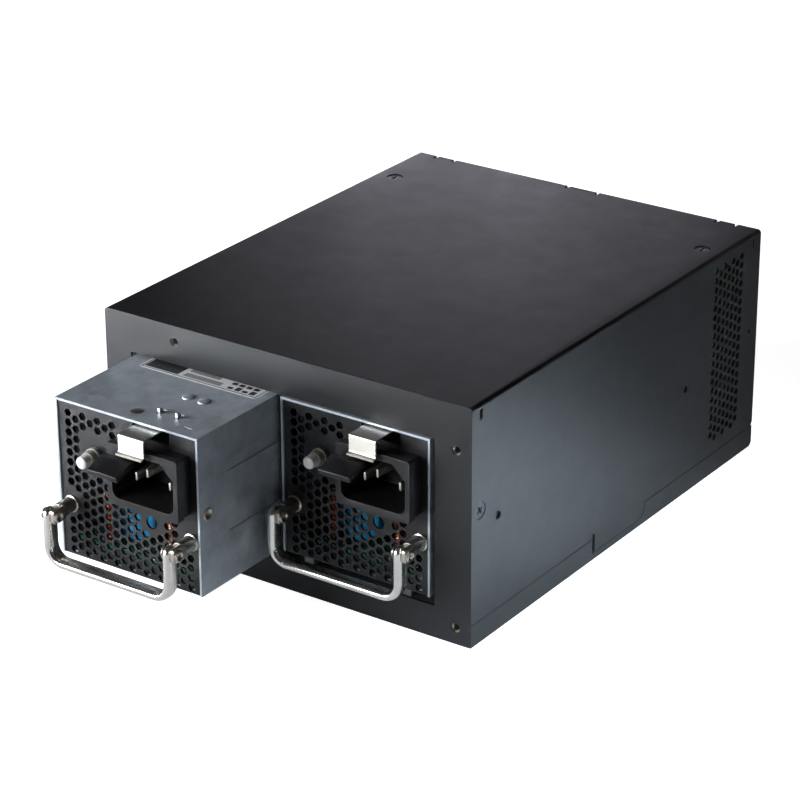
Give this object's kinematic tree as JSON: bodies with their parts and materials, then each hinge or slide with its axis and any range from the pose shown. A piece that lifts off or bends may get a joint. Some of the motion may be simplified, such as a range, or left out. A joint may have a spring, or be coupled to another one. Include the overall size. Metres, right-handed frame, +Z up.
{
  "type": "hot swap server power supply",
  "caption": "Redundant server power supply: a steel cage with side-by-side pull-out power modules, each with a bail handle, spring latch, mains inlet and fan.",
  "frame": {"origin": "centre of the cage's bottom face", "axes": "+X to the right seen from the front, +Y from the front to the rear, +Z up"},
  "size_m": [0.15, 0.2526, 0.086],
  "materials": {
    "black_coat": "satin black powder coat",
    "grey_paint": "satin grey paint",
    "zinc": "galvanised steel sheet",
    "nickel": "bright nickel plate",
    "chrome": "polished chrome plate",
    "aluminium": "extruded, plain",
    "black_plastic": "moulded black",
    "component_black": "moulded package",
    "black_screw": "black oxide",
    "circuit_board": "green solder mask",
    "white_plastic": "moulded white",
    "cream_plastic": "translucent cream",
    "blue_sleeve": "shrink sleeve",
    "copper": "enamelled copper wire",
    "ferrite": "ferrite and tape"
  },
  "bodies": {
    "cage": {"top_cover": "black_coat", "base_tray": "black_coat", "front_frame": "black_coat", "rear_panel": "black_coat", "cable_grommet": "black_plastic", "bay_tray": "zinc", "bay_roof": "zinc", "bay_divider": "black_coat", "backplane_board": "circuit_board", "module_sockets": "black_plastic", "backplane_bracket": "zinc", "board_standoffs": "nickel", "converter_board": "circuit_board", "converter_parts": "component_black", "alarm_buzzer": "component_black", "cover_screws": "black_screw"},
    "left_module": {"left_shell": "zinc", "left_tray": "zinc", "left_front_panel": "grey_paint", "left_rear_plate": "zinc", "left_inlet": "black_plastic", "left_inlet_blades": "nickel", "left_bail_posts": "nickel", "left_bail_rivets": "nickel", "left_latch_rivets": "nickel", "left_reset_switch": "cream_plastic", "left_main_board": "circuit_board", "left_capacitor": "blue_sleeve", "left_chokes": "copper", "left_transformer": "ferrite", "left_heatsink": "aluminium", "left_fan_frame": "black_plastic", "left_shell_rivets": "nickel"},
    "left_bail": {"left_bail": "chrome"},
    "left_latch": {"left_latch_leaf": "nickel", "left_latch_tab": "black_plastic"},
    "left_button": {"left_reset_button": "white_plastic"},
    "left_fan": {"left_fan_rotor": "black_plastic"},
    "right_module": {"right_shell": "zinc", "right_tray": "zinc", "right_front_panel": "grey_paint", "right_rear_plate": "zinc", "right_inlet": "black_plastic", "right_inlet_blades": "nickel", "right_bail_posts": "nickel", "right_bail_rivets": "nickel", "right_latch_rivets": "nickel", "right_reset_switch": "cream_plastic", "right_main_board": "circuit_board", "right_capacitor": "blue_sleeve", "right_chokes": "copper", "right_transformer": "ferrite", "right_heatsink": "aluminium", "right_fan_frame": "black_plastic", "right_shell_rivets": "nickel"},
    "right_bail": {"right_bail": "chrome"},
    "right_latch": {"right_latch_leaf": "nickel", "right_latch_tab": "black_plastic"},
    "right_button": {"right_reset_button": "white_plastic"},
    "right_fan": {"right_fan_rotor": "black_plastic"}
  },
  "joints": [
    {"name": "left_module_slide", "type": "slide", "parent": "cage", "child": "left_module", "axis": [0, -1, 0], "range_m": [-0.042, 0.1]},
    {"name": "left_bail_swing", "type": "hinge", "parent": "left_module", "child": "left_bail", "pos_m": [-0.03245, -0.147, 0.0333], "axis": [-1, 0, 0], "range_deg": [0, 110]},
    {"name": "left_latch_press", "type": "hinge", "parent": "left_module", "child": "left_latch", "pos_m": [-0.02205, -0.1125, 0.0699], "axis": [1, 0, 0], "range_deg": [0, 6], "stiffness_Nm_per_rad": 0.3},
    {"name": "left_button_press", "type": "slide", "parent": "left_module", "child": "left_button", "axis": [0, 1, 0], "range_m": [0, 0.0012], "stiffness_N_per_m": 250},
    {"name": "left_fan_spin", "type": "hinge", "parent": "left_module", "child": "left_fan", "pos_m": [-0.03245, 0.0122, 0.046], "axis": [0, 1, 0], "continuous": true},
    {"name": "right_module_slide", "type": "slide", "parent": "cage", "child": "right_module", "axis": [0, -1, 0], "range_m": [0, 0.142]},
    {"name": "right_bail_swing", "type": "hinge", "parent": "right_module", "child": "right_bail", "pos_m": [0.02905, -0.105, 0.0333], "axis": [-1, 0, 0], "range_deg": [0, 110]},
    {"name": "right_latch_press", "type": "hinge", "parent": "right_module", "child": "right_latch", "pos_m": [0.03945, -0.0705, 0.0699], "axis": [1, 0, 0], "range_deg": [0, 6], "stiffness_Nm_per_rad": 0.3},
    {"name": "right_button_press", "type": "slide", "parent": "right_module", "child": "right_button", "axis": [0, 1, 0], "range_m": [0, 0.0012], "stiffness_N_per_m": 250},
    {"name": "right_fan_spin", "type": "hinge", "parent": "right_module", "child": "right_fan", "pos_m": [0.02905, 0.0542, 0.046], "axis": [0, 1, 0], "continuous": true}
  ]
}
